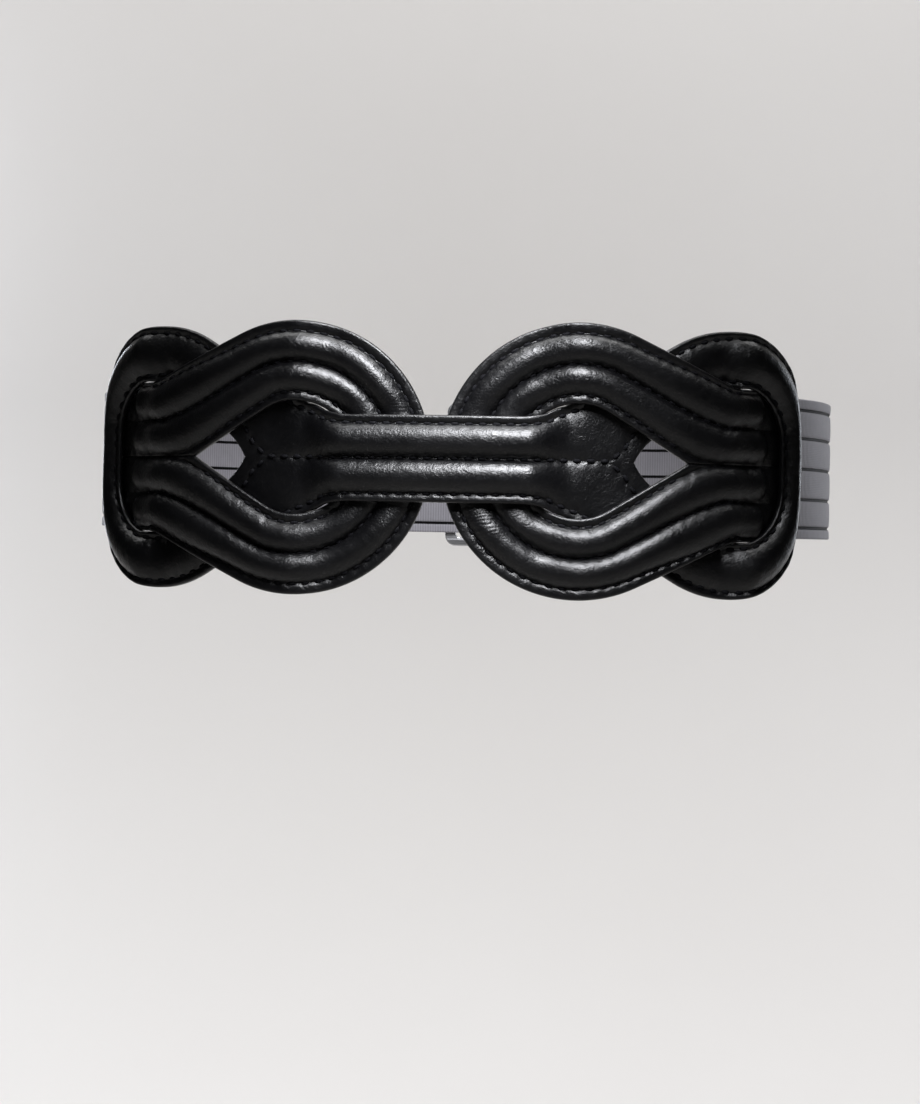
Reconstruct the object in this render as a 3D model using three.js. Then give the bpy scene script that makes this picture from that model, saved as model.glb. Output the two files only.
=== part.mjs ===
// A wide waist belt. Two padded leather loops, one on each side of the front, are interlocked with one centre
// link, and two elastic bands carry the loops round to a plain clasp at the middle of the back.
// Millimetres, +Z up. The front faces -Y, and left and right are as seen from the front.
// The origin is the middle of the waist that the belt closes round, at half the belt's height.
//
// Each piece is laid out on a flat pattern first: along runs round the belt from the middle of its front,
// up is the height, and off is the distance out from the waist. The pattern is then wrapped round the waist.
import * as THREE from "three";
import { mergeVertices } from "three/addons/utils/BufferGeometryUtils.js";

// The waist is an oval, a little squarer than an ellipse, and the pattern's lengths hold just outside it.
const waist = { halfWidth: 120, halfDepth: 85, squareness: 2.5 };
const patternOff = 3;

// Leather: this thick at its margins and seams, and raised over a soft core in each channel between them.
const leather = { flat: 1.8 };

// Points nearer to each other than this are one point, and a point nearer to the middle line lies on it.
const samePoint = 1e-3;
const onMiddleLine = 1e-6;

// Knot loop: a round eye, whose two arms come together into a strap.
const loop = {
  eyeAt: 43.2,
  radius: 41.8,
  holeRadius: 17.3,
  holeTip: 76.6,
  slope: 25,
  armEnd: 89,
  armSplit: 0.62,
  bendRadius: 14,
  strapEnd: 113,
};
// The sections lean back from the hole's tip on, so that each one meets the middle line this far behind.
const lag = 6;
// The padded ribs of the strap end here in round ends, on a slight bow.
const ribEnd = { at: 105.6, bow: 2.4, round: 6, halfWidth: 22 };

// Centre link: a two-channel bridge that opens into a ring at each end.
const link = {
  half: 13.2,
  flareAt: 25,
  flareRadius: 34,
  slope: 30,
  armAt: 47.4,
  climbRadius: 38,
  earTop: 41,
};
// The ear's outer edge turns down from its top in these arcs, and in one more that ends at the middle line.
const ear = [
  { radius: 25, turn: -30 },
  { radius: 27, turn: -49 },
];
// The ring's hole: its near end is bowed and a little pointed, and its far end is round.
const hole = { at: 60.8, heading: 64, endRadius: 20, slope: 42, topRadius: 16.3, top: 24.4, farRadius: 17.5 };
// The middle seam opens from here into one that runs round the hole, at this distance from its near end.
const fork = { at: 53.5, margin: 5.4, seam: 0.4 };

// How far a piece's underside stands off the waist along the pattern, and how high its channels are.
const loopShape = [
  { along: 30, lift: 0, crown: 4.6, outer: 3.4, inner: 2.8 },
  { along: 46, lift: 3.6, crown: 4.6, outer: 3.4, inner: 2.8 },
  { along: 62, lift: 3.6, crown: 4.6, outer: 3.2, inner: 2.8 },
  { along: 90, lift: 3.6, crown: 4.3, outer: 1.7, inner: 0.5 },
  { along: 99, lift: 1.7, crown: 4.3, outer: 1.4, inner: 0.5 },
];
const linkShape = [
  { along: 28, lift: 3.8, crown: 4.7, outer: 2.7, inner: 5.4 },
  { along: 42, lift: 0, crown: 3.1, outer: 2.7, inner: 5.4 },
  { along: 62, lift: 0, crown: 3.1, outer: 2.8, inner: 5.4 },
  { along: 76, lift: 0, crown: 3.1, outer: 2.6, inner: 2.8 },
  { along: 88, lift: 0, crown: 3.1, outer: 2.4, inner: 2.2 },
  { along: 100, lift: 4.2, crown: 4.4, outer: 2, inner: 1.8 },
  { along: 113, lift: 4.2, crown: 4.4, outer: 1.8, inner: 1.8 },
  { along: 121, lift: 2.4, crown: 4.4, outer: 1.8, inner: 1.8 },
];
// The bridge presses the loops' channels down to this height beneath it, up to this far from the middle line.
const pressed = { crown: 3.3, upTo: 13.6, clearAt: 21, along: 33 };

// Elastic: a ribbed band sewn under the strap, taken through the clasp and turned back.
const elastic = { width: 44, thick: 1.4, start: 106, turnBack: 20, rampTurn: 8, rampRadius: 40 };
const groove = { depth: 0.7, half: 1, at: [-18.5, -9.6, 0, 9.6, 18.5] };
const clasp = { halfWidth: 17.5, halfHeight: 27, bar: 4, slot: 3, thick: 1.6, corner: 4 };
const play = 0.3;

const radians = (degrees) => (degrees * Math.PI) / 180;
const sin = (degrees) => Math.sin(radians(degrees));
const cos = (degrees) => Math.cos(radians(degrees));
const smooth = (t) => t * t * (3 - 2 * t);
const clamp01 = (t) => Math.min(1, Math.max(0, t));

// Reads one column of a table by its along column, with a smooth run from each row to the next.
function fromTable(rows, column, along) {
  const next = rows.findIndex((row) => row.along > along);
  if (next === 0) return rows[0][column];
  if (next < 0) return rows[rows.length - 1][column];
  const [a, b] = [rows[next - 1], rows[next]];
  return a[column] + (b[column] - a[column]) * smooth((along - a.along) / (b.along - a.along));
}

// Half of the oval that the pattern is wrapped round, from the middle of the front to the middle of the back.
function makeOval() {
  const a = waist.halfWidth + patternOff;
  const b = waist.halfDepth + patternOff;
  const n = waist.squareness;
  const samples = 3000;
  const points = [];
  for (let i = 0; i <= samples; i++) {
    const angle = (180 * i) / samples;
    const reach = (Math.abs(sin(angle) / a) ** n + Math.abs(cos(angle) / b) ** n) ** (-1 / n);
    const point = { x: reach * sin(angle), y: -reach * cos(angle), length: 0 };
    const last = points[i - 1];
    if (last) point.length = last.length + Math.hypot(point.x - last.x, point.y - last.y);
    points.push(point);
  }
  return { a, b, n, points, half: points[samples].length };
}
const oval = makeOval();

// A point of the pattern, wrapped round the waist.
function wrap({ along, up, off }) {
  const side = along < 0 ? -1 : 1;
  const length = Math.min(Math.abs(along), 2 * oval.half - Math.abs(along));
  const past = Math.abs(along) > oval.half ? -side : side;
  let low = 0;
  let high = oval.points.length - 1;
  while (high - low > 1) {
    const middle = (low + high) >> 1;
    if (oval.points[middle].length > length) high = middle;
    else low = middle;
  }
  const [p, q] = [oval.points[low], oval.points[high]];
  const t = (length - p.length) / (q.length - p.length);
  const x = p.x + (q.x - p.x) * t;
  const y = p.y + (q.y - p.y) * t;
  const nx = (Math.abs(x) / oval.a) ** (oval.n - 1) / oval.a;
  const ny = (Math.sign(y) * (Math.abs(y) / oval.b) ** (oval.n - 1)) / oval.b;
  const out = (off - patternOff) / Math.hypot(nx, ny);
  return [past * (x + nx * out), y + ny * out, up];
}

// A flat route from a point. Each row is a straight run, or a turn in degrees on a radius, left if positive.
function route(start, heading, rows) {
  const path = new THREE.CurvePath();
  const at = new THREE.Vector2(...start);
  let h = heading;
  for (const { run, turn, radius } of rows) {
    if (run) {
      const end = new THREE.Vector2(at.x + run * cos(h), at.y + run * sin(h));
      path.add(new THREE.LineCurve(at.clone(), end));
      at.copy(end);
    } else {
      const side = Math.sign(turn);
      const centre = new THREE.Vector2(at.x - side * radius * sin(h), at.y + side * radius * cos(h));
      const from = radians(h - 90 * side);
      const to = from + radians(turn);
      path.add(new THREE.EllipseCurve(centre.x, centre.y, radius, radius, from, to, side < 0));
      h += turn;
      at.set(centre.x + radius * Math.cos(to), centre.y + radius * Math.sin(to));
    }
  }
  return { path, end: at, heading: h };
}

// Stretches of a leather band, each with a route for its outer edge, one for its inner edge, and its steps.
// Gives the pairs of edge points that its sections are drawn between.
function sectionsOf(outerStart, innerStart, heading, stretches) {
  const pairs = [];
  let outer = { end: outerStart, heading };
  let inner = { end: innerStart, heading };
  for (const { outerRows, innerRows, innerHeading, steps } of stretches) {
    outer = route(outer.end, outer.heading, outerRows);
    inner = route(inner.end, innerHeading ?? inner.heading, innerRows);
    const outerPoints = outer.path.getSpacedPoints(steps);
    const innerPoints = inner.path.getSpacedPoints(steps);
    for (let i = pairs.length ? 1 : 0; i <= steps; i++) pairs.push([outerPoints[i], innerPoints[i]]);
  }
  return pairs;
}

// The top of one channel between two seams: how far across each point is, and its share of the rise.
const channelTop = [
  { across: 0.12, rise: 0.5 },
  { across: 0.36, rise: 0.95 },
  { across: 0.64, rise: 0.95 },
  { across: 0.88, rise: 0.5 },
];

// One section across a leather band, from its outer edge to its inner one, as a ring of points.
// The seams are distances in from the outer edge, and shapeAt gives the lift and the crown at a place.
function leatherSection([outer, inner], seamsOf, shapeAt) {
  const width = outer.distanceTo(inner);
  const spot = (across) => outer.clone().lerp(inner, across / width);
  const point = (across, height) => {
    const p = spot(across);
    const up = Math.abs(p.y) < onMiddleLine ? 0 : p.y;
    return { along: p.x, up, off: shapeAt(p).lift + height };
  };
  const seams = seamsOf(outer, inner, width);
  const ring = [point(width / 2, 0), point(0, 0), point(0, leather.flat)];
  seams.forEach((seam, i) => {
    ring.push(point(seam, leather.flat));
    if (i === seams.length - 1) return;
    for (const { across, rise } of channelTop) {
      const at = seam + (seams[i + 1] - seam) * across;
      ring.push(point(at, leather.flat + (shapeAt(spot(at)).crown - leather.flat) * rise));
    }
  });
  ring.push(point(width, leather.flat), point(width, 0));
  return ring;
}

const mirrored = (ring, alongSide, upSide) =>
  ring.map(({ along, up, off }) => ({ along: along * alongSide, up: up * upSide, off }));
const crossSection = ({ up, off }) => new THREE.Vector2(up, off);

// The two ends of a band, closed by the outline that each end ring has in the given pair of directions.
function capFaces(rings, flatten) {
  const size = rings[0].length;
  const faces = [];
  for (const end of [0, rings.length - 1]) {
    const outline = rings[end].map(flatten);
    const turn = Math.sign(THREE.ShapeUtils.area(outline)) * (end ? -1 : 1);
    for (const face of THREE.ShapeUtils.triangulateShape(outline, [])) {
      const own = Math.sign(THREE.ShapeUtils.area(face.map((k) => outline[k])));
      const [p, q, r] = face.map((k) => end * size + k);
      faces.push(...(own === turn ? [p, q, r] : [p, r, q]));
    }
  }
  return faces;
}

// Joins rings of points into one closed solid: a band with two ends, or a closed hoop.
// Where the inner wall lies on the middle line, up = 0, it is left out, because two sides meet there.
function solidFromRings(rings, { hoop = false, flatten }) {
  const size = rings[0].length;
  const count = rings.length;
  const positions = rings.flat().flatMap(wrap);
  const index = [];
  const onMiddle = (ring) => ring[size - 1].up === 0 && ring[size - 2].up === 0;
  for (let i = 0; i < (hoop ? count : count - 1); i++) {
    const next = (i + 1) % count;
    const joined = onMiddle(rings[i]) && onMiddle(rings[next]);
    for (let k = 0; k < size; k++) {
      if (joined && k === size - 2) continue;
      const n = (k + 1) % size;
      const [a, b, c, d] = [i * size + k, next * size + k, next * size + n, i * size + n];
      index.push(a, b, c, a, c, d);
    }
  }
  if (!hoop) index.push(...capFaces(rings, flatten));
  return facingOut(positions, index);
}

// A geometry whose faces point out, with its shared points merged and its empty faces left out.
function facingOut(positions, index) {
  const p = (i) => new THREE.Vector3().fromArray(positions, 3 * i);
  let volume = 0;
  for (let i = 0; i < index.length; i += 3) volume += p(index[i]).dot(p(index[i + 1]).cross(p(index[i + 2])));
  if (volume < 0) index.reverse();
  const geometry = new THREE.BufferGeometry();
  geometry.setAttribute("position", new THREE.Float32BufferAttribute(positions, 3));
  geometry.setIndex(index);
  const merged = mergeVertices(geometry, samePoint);
  const faces = [];
  for (let i = 0; i < index.length; i += 3) {
    const face = [...merged.index.array.slice(i, i + 3)];
    if (new Set(face).size === 3) faces.push(...face);
  }
  merged.setIndex(faces);
  return merged;
}

// Knot loop: the upper half of the band from the eye's tip to the strap's end, and its mirror image below.
function loopGeometry(side) {
  const { eyeAt, radius, holeRadius, holeTip, slope, armEnd, armSplit, bendRadius, strapEnd } = loop;
  const armStart = { x: eyeAt + radius * sin(slope), y: radius * cos(slope) };
  const armRun = (armEnd - armStart.x) / cos(slope);
  const bendEnd = armEnd + bendRadius * sin(slope);
  // The hole's edge leaves its circle on the line that runs to the hole's pointed tip.
  const holeTurn = 180 - (Math.acos(holeRadius / (holeTip - eyeAt)) * 180) / Math.PI;
  const holeRun = Math.sqrt((holeTip - eyeAt) ** 2 - holeRadius ** 2);
  const turn = 90 + slope;
  const stretches = [
    { outerRows: [{ turn: -turn, radius }], innerRows: [{ turn: -turn, radius: holeRadius }], steps: 14 },
    {
      outerRows: [{ run: armSplit * armRun }],
      innerRows: [{ turn: turn - holeTurn, radius: holeRadius }, { run: holeRun }],
      steps: 5,
    },
    {
      outerRows: [{ run: (1 - armSplit) * armRun }, { turn: slope, radius: bendRadius }],
      innerHeading: 0,
      innerRows: [{ run: bendEnd - holeTip - lag }],
      steps: 7,
    },
    { outerRows: [{ run: strapEnd - bendEnd }], innerRows: [{ run: strapEnd - bendEnd + lag }], steps: 8 },
  ];
  const tip = new THREE.Vector2(eyeAt - radius, 0);
  const holeStart = new THREE.Vector2(eyeAt - holeRadius, 0);
  const seamsOf = (outer, inner, width) => {
    const first = fromTable(loopShape, "outer", outer.x);
    const last = width - fromTable(loopShape, "inner", inner.x);
    return [first, (first + last) / 2, last];
  };
  const shapeAt = ({ x, y }) => {
    const clear = clamp01((Math.abs(y) - pressed.upTo) / (pressed.clearAt - pressed.upTo));
    const free = fromTable(loopShape, "crown", x);
    const under = pressed.crown + (free - pressed.crown) * smooth(clear);
    const end = ribEnd.at - ribEnd.bow * (y / ribEnd.halfWidth) ** 2;
    const past = 1 - clamp01((end - x) / ribEnd.round);
    const crown = x < pressed.along ? under : free;
    return {
      lift: fromTable(loopShape, "lift", x),
      crown: leather.flat + (crown - leather.flat) * Math.sqrt(1 - past ** 2),
    };
  };
  const upper = sectionsOf(tip, holeStart, 90, stretches)
    .map((pair) => leatherSection(pair, seamsOf, shapeAt))
    .map((ring) => mirrored(ring, side, 1));
  const lower = upper.slice(1).map((ring) => mirrored(ring, 1, -1));
  return solidFromRings([...upper.reverse(), ...lower], { flatten: crossSection });
}

// Centre link: a quarter of its outline, from the middle of the bridge to the ear, and its mirror images.
function linkGeometry() {
  const { half, flareAt, slope, flareRadius, armAt, climbRadius, earTop } = link;
  const flareTop = half + flareRadius * (1 - cos(slope));
  const climb = (earTop - flareTop - climbRadius * (1 - cos(slope))) / sin(slope);
  const flareEnd = flareAt + flareRadius * sin(slope);
  const toArm = (armAt - flareEnd) / cos(slope);
  const earEnd = ear.reduce(
    ({ up, heading }, { radius, turn }) => ({
      up: up - radius * (cos(heading) - cos(heading + turn)),
      heading: heading + turn,
    }),
    { up: earTop, heading: 0 },
  );
  const lastTurn = -90 - earEnd.heading;
  const lastRadius = earEnd.up / sin(-lastTurn);
  const endRise = hole.endRadius * (cos(hole.slope) - cos(hole.heading));
  const topRise = hole.topRadius * (1 - cos(hole.slope));
  const holeSide = (hole.top - endRise - topRise) / sin(hole.slope);
  const stretches = [
    { outerRows: [{ run: flareAt }], innerRows: [{ run: flareAt }], steps: 6 },
    {
      outerRows: [{ turn: slope, radius: flareRadius }, { run: toArm }],
      innerRows: [{ run: hole.at - flareAt }],
      steps: 8,
    },
    {
      outerRows: [{ run: climb - toArm }],
      innerHeading: hole.heading,
      innerRows: [{ turn: hole.slope - hole.heading, radius: hole.endRadius }, { run: holeSide }],
      steps: 8,
    },
    {
      outerRows: [{ turn: -slope, radius: climbRadius }],
      innerRows: [{ turn: -hole.slope, radius: hole.topRadius }],
      steps: 5,
    },
    {
      outerRows: [...ear, { turn: lastTurn, radius: lastRadius }],
      innerRows: [{ turn: -90, radius: hole.farRadius }, { run: hole.top - hole.farRadius }],
      steps: 15,
    },
  ];
  const seamsOf = (outer, inner, width) => {
    const opened = fork.seam + (fork.margin - fork.seam) * clamp01((inner.x - fork.at) / (hole.at - fork.at));
    const toInner = Math.min(opened, fromTable(linkShape, "inner", inner.x));
    return [fromTable(linkShape, "outer", outer.x), width - toInner];
  };
  const shapeAt = ({ x }) => ({
    lift: fromTable(linkShape, "lift", x),
    crown: fromTable(linkShape, "crown", x),
  });
  const quarter = sectionsOf(new THREE.Vector2(0, half), new THREE.Vector2(0, 0), 0, stretches).map((pair) =>
    leatherSection(pair, seamsOf, shapeAt),
  );
  const [first, ...rest] = quarter;
  const last = rest.pop();
  const back = [...rest].reverse();
  const flip = (rings, alongSide, upSide) => rings.map((ring) => mirrored(ring, alongSide, upSide));
  return solidFromRings(
    [
      first,
      ...rest,
      last,
      ...flip(back, 1, -1),
      mirrored(first, 1, -1),
      ...flip(rest, -1, -1),
      mirrored(last, -1, -1),
      ...flip(back, -1, 1),
    ],
    { hoop: true },
  );
}

// Elastic band: from under the strap to the clasp, round the clasp's bar and back on itself.
function elasticGeometry(side) {
  const { width, thick, start, turnBack, rampTurn, rampRadius } = elastic;
  const foldRadius = clasp.thick / 2 + play;
  const foldAt = oval.half - clasp.halfWidth + clasp.bar;
  const rise = play + thick + 2 * foldRadius;
  const rampRise = 2 * rampRadius * (1 - cos(rampTurn));
  const ramp = (rise - rampRise) / sin(rampTurn);
  const rampLength = ramp * cos(rampTurn) + 2 * rampRadius * sin(rampTurn);
  const stretches = [
    { rows: [{ run: foldAt - clasp.bar - rampLength - start }], steps: 26 },
    { rows: [{ turn: rampTurn, radius: rampRadius }], steps: 2 },
    { rows: [{ run: ramp }], steps: 2 },
    { rows: [{ turn: -rampTurn, radius: rampRadius }], steps: 2 },
    { rows: [{ run: clasp.bar }], steps: 1 },
    { rows: [{ turn: -180, radius: foldRadius }], steps: 8 },
    { rows: [{ run: turnBack }], steps: 2 },
  ];
  const section = [{ up: -width / 2, height: 0 }, { up: -width / 2, height: thick }];
  for (const at of groove.at) {
    section.push({ up: at - groove.half, height: thick });
    section.push({ up: at, height: thick - groove.depth });
    section.push({ up: at + groove.half, height: thick });
  }
  section.push({ up: width / 2, height: thick }, { up: width / 2, height: 0 });
  const rings = [];
  let at = { end: new THREE.Vector2(start, 0), heading: 0 };
  for (const { rows, steps } of stretches) {
    at = route(at.end, at.heading, rows);
    for (let i = rings.length ? 1 : 0; i <= steps; i++) {
      const point = at.path.getPoint(i / steps);
      const direction = at.path.getTangent(i / steps);
      const place = ({ up, height }) => ({
        along: side * (point.x - direction.y * height),
        up,
        off: point.y + direction.x * height,
      });
      rings.push(section.map(place));
    }
  }
  return solidFromRings(rings, { flatten: crossSection });
}

// Clasp: a plain plate with a slot and a bar at each end for the elastic.
function claspGeometry() {
  const { halfWidth, halfHeight, bar, slot, thick, corner } = clasp;
  const outline = new THREE.Shape();
  const [w, h] = [halfWidth, halfHeight];
  outline.absarc(-w + corner, -h + corner, corner, Math.PI, 1.5 * Math.PI);
  outline.absarc(w - corner, -h + corner, corner, 1.5 * Math.PI, 2 * Math.PI);
  outline.absarc(w - corner, h - corner, corner, 0, 0.5 * Math.PI);
  outline.absarc(-w + corner, h - corner, corner, 0.5 * Math.PI, Math.PI);
  const top = elastic.width / 2 + play;
  for (const side of [-1, 1]) {
    const opening = new THREE.Path();
    opening.absarc(side * (w - bar - slot / 2), top, slot / 2, 0, Math.PI);
    opening.absarc(side * (w - bar - slot / 2), -top, slot / 2, Math.PI, 2 * Math.PI);
    outline.holes.push(opening);
  }
  const plate = new THREE.ExtrudeGeometry(outline, { depth: thick, bevelEnabled: false, curveSegments: 5 });
  plate.deleteAttribute("normal");
  plate.deleteAttribute("uv");
  const merged = mergeVertices(plate, samePoint);
  const base = play + elastic.thick + play;
  const positions = [];
  for (let i = 0; i < merged.attributes.position.count; i++) {
    const [x, y, z] = [0, 1, 2].map((k) => merged.attributes.position.getComponent(i, k));
    positions.push(...wrap({ along: oval.half - x, up: y, off: base + z }));
  }
  return facingOut(positions, [...merged.index.array]);
}

const materials = {
  leather: { color: 0x151517, roughness: 0.34, metalness: 0 },
  elastic: { color: 0x393b40, roughness: 0.85, metalness: 0 },
  metal: { color: 0x8d8f93, roughness: 0.35, metalness: 0.9 },
};

function addPiece(group, name, geometry, finish) {
  const material = new THREE.MeshStandardMaterial({ ...materials[finish], name: finish });
  const piece = new THREE.Mesh(geometry, material);
  piece.name = name;
  group.add(piece);
}

const belt = new THREE.Group();
addPiece(belt, "centre_link", linkGeometry(), "leather");
for (const [name, side] of [["left", -1], ["right", 1]]) {
  addPiece(belt, `knot_loop_${name}`, loopGeometry(side), "leather");
  addPiece(belt, `elastic_band_${name}`, elasticGeometry(side), "elastic");
}
addPiece(belt, "back_clasp", claspGeometry(), "metal");

export default belt;
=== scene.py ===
# A wide waist belt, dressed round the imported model: padded leather knots on ribbed elastic.
import bpy
import bmesh
import math
import numpy as np
from mathutils import Matrix, Vector, noise


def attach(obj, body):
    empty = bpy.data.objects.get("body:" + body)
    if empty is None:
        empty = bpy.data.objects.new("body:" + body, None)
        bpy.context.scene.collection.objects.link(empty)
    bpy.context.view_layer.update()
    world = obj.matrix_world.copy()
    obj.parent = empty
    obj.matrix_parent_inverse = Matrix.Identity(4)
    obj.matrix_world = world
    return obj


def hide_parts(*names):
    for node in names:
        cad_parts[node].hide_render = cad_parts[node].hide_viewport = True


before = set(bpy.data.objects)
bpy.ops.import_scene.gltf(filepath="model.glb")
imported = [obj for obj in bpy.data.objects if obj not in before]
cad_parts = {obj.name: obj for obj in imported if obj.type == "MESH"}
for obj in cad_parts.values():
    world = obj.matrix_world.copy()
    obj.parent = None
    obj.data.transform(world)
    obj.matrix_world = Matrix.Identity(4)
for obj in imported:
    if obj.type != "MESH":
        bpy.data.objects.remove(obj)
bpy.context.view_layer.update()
mm = 0.001  # the flat pattern below is laid out in millimetres, as in the part's source
print("stage: frame loaded")

# Camera at the photograph's angle
view = {
    "azimuth": 6.4,  # degrees round from the front, towards the viewer's right
    "elevation": -1.6,
    "distance": 0.8,
    "lens": 77.05,
    "sensor": 36.0,
    "shiftX": -0.0062,
    "shiftY": -0.0764,
    "roll": 1.12,
    "clipStart": 0.05,
}


# A place at so many degrees round from the front, and up, at a distance from the middle
def aroundBelt(azimuth, elevation, distance):
    az, el = math.radians(azimuth), math.radians(elevation)
    return Vector((math.sin(az) * math.cos(el), -math.cos(az) * math.cos(el), math.sin(el))) * distance


def makeCamera(v):
    data = bpy.data.cameras.new("camera")
    data.sensor_fit = "VERTICAL"
    data.sensor_height = v["sensor"]
    data.lens = v["lens"]
    data.shift_x = v["shiftX"]
    data.shift_y = v["shiftY"]
    data.clip_start = v["clipStart"]
    camera = bpy.data.objects.new("camera", data)
    place = aroundBelt(v["azimuth"], v["elevation"], v["distance"])
    turn = (-place).to_track_quat("-Z", "Y").to_matrix().to_4x4()
    camera.matrix_world = Matrix.Translation(place) @ turn @ Matrix.Rotation(math.radians(v["roll"]), 4, "Z")
    bpy.context.scene.collection.objects.link(camera)
    bpy.context.scene.camera = camera


makeCamera(view)

patternUnit = 100  # millimetres of the flat pattern to one unit of its UV map

# The waist oval that the flat pattern is wrapped round
waist = {"halfWidth": 120.0, "halfDepth": 85.0, "squareness": 2.5, "patternOff": 3.0}


def makeOval(w, samples=6000):
    a = w["halfWidth"] + w["patternOff"]
    b = w["halfDepth"] + w["patternOff"]
    n = w["squareness"]
    angle = np.linspace(0, np.pi, samples + 1)
    reach = (np.abs(np.sin(angle) / a) ** n + np.abs(np.cos(angle) / b) ** n) ** (-1 / n)
    x = reach * np.sin(angle)
    y = -reach * np.cos(angle)
    length = np.concatenate([[0], np.cumsum(np.hypot(np.diff(x), np.diff(y)))])
    return {"a": a, "b": b, "n": n, "x": x, "y": y, "length": length, "half": length[-1]}


oval = makeOval(waist)


# along, up and off are arrays in millimetres; gives points in metres
def wrapPattern(along, up, off):
    along, up, off = np.broadcast_arrays(np.asarray(along, float), up, off)
    far = np.abs(along)
    side = np.where(along < 0, -1.0, 1.0) * np.where(far > oval["half"], -1.0, 1.0)
    far = np.minimum(far, 2 * oval["half"] - far)
    x = np.interp(far, oval["length"], oval["x"])
    y = np.interp(far, oval["length"], oval["y"])
    nx = (np.abs(x) / oval["a"]) ** (oval["n"] - 1) / oval["a"]
    ny = np.sign(y) * (np.abs(y) / oval["b"]) ** (oval["n"] - 1) / oval["b"]
    out = (off - waist["patternOff"]) / np.hypot(nx, ny)
    return np.stack([side * (x + nx * out), y + ny * out, up], axis=-1) * mm


def smoothStep(t):
    t = np.clip(t, 0, 1)
    return t * t * (3 - 2 * t)


# Reads a column of a table by its along column, with a smooth run between rows
def fromTable(rows, column, along):
    stops = np.array([row["along"] for row in rows], float)
    values = np.array([row[column] for row in rows], float)
    along = np.asarray(along, float)
    after = np.clip(np.searchsorted(stops, along, side="right"), 1, len(rows) - 1)
    before = after - 1
    t = smoothStep((along - stops[before]) / (stops[after] - stops[before]))
    return values[before] + (values[after] - values[before]) * t


# A flat route: each row is a straight run, or a turn in degrees on a radius, left if positive
def drawRoute(start, heading, rows):
    points = [np.array(start, float)]
    at = np.array(start, float)
    h = math.radians(heading)
    for row in rows:
        if "run" in row:
            at = at + row["run"] * np.array([math.cos(h), math.sin(h)])
            points.append(at.copy())
            continue
        turn = math.radians(row["turn"])
        side = math.copysign(1, turn)
        centre = at + row["radius"] * side * np.array([-math.sin(h), math.cos(h)])
        steps = max(4, int(abs(turn) * row["radius"] / 0.15))
        for k in range(1, steps + 1):
            a = h - side * math.pi / 2 + turn * k / steps
            points.append(centre + row["radius"] * np.array([math.cos(a), math.sin(a)]))
        h += turn
        at = points[-1].copy()
    return np.array(points), at, math.degrees(h)


def lengthsOf(points):
    return np.concatenate([[0], np.cumsum(np.hypot(*np.diff(points, axis=0).T))])


# Each column of values read at so many lengths along a path
def readAlong(at, length, values):
    return np.stack([np.interp(at, length, values[:, c]) for c in range(values.shape[1])], axis=-1)


def spaceOut(points, steps):
    length = lengthsOf(points)
    return readAlong(np.linspace(0, length[-1], steps + 1), length, points)


# The outer and inner end of each section across a band, from its stretches of edge routes
def sectionEnds(outerStart, innerStart, heading, stretches):
    outerEnds, innerEnds = [], []
    outerAt, outerHeading = outerStart, heading
    innerAt, innerHeading = innerStart, heading
    for s in stretches:
        outer, outerAt, outerHeading = drawRoute(outerAt, outerHeading, s["outer"])
        inner, innerAt, innerHeading = drawRoute(innerAt, s.get("innerHeading", innerHeading), s["inner"])
        length = np.hypot(*np.diff(outer, axis=0).T).sum()
        steps = int(math.ceil(length / s["pitch"]))
        first = 1 if outerEnds else 0
        outerEnds.extend(spaceOut(outer, steps)[first:])
        innerEnds.extend(spaceOut(inner, steps)[first:])
    return np.array(outerEnds), np.array(innerEnds)


# Evens out a column of values along a band, over so many sections each way
def softened(values, reach):
    window = np.exp(-np.linspace(-2, 2, 2 * reach + 1) ** 2)
    window /= window.sum()
    ends = np.concatenate([np.full(reach, values[0]), values, np.full(reach, values[-1])])
    return np.convolve(ends, window, mode="valid")


# Leather bands: a section runs from the outer edge to the inner one, with seams between padded channels
leather = {
    "flat": 1.9,  # height of the margins over the underside
    "valley": 1.4,  # height in a stitched seam
    "seamWidth": 0.7,
    "edgeRound": 0.85,
    "underRound": 0.45,
    "underShares": [0.92, 0.75, 0.5, 0.25, 0.08],  # where the underside has points, across the band
    "fullness": 0.8,  # lower is squarer channels
    "squareness": 2.2,
    "puckerDepth": 0.2,
    "puckerReach": 1.5,
    "stitchPitch": 4.2,
    "stitchLength": 2.8,
    "stitchRadius": 0.54,
}
marginShares = np.array([0, 0.03, 0.08, 0.15, 0.25, 0.38, 0.52, 0.66, 0.78, 0.88, 0.95, 1.0])
channelShares = 0.5 - 0.5 * np.cos(np.pi * np.linspace(0, 1, 29))


# Smooth noise at each point, from -1 to 1
def waver(points, scale, seed):
    shift = Vector((seed * 17.3, seed * 5.1, seed * 9.7))
    flat = points.reshape(-1, points.shape[-1])
    return np.array([noise.noise(Vector(p) * scale + shift) for p in flat]).reshape(points.shape[:-1])


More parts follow.
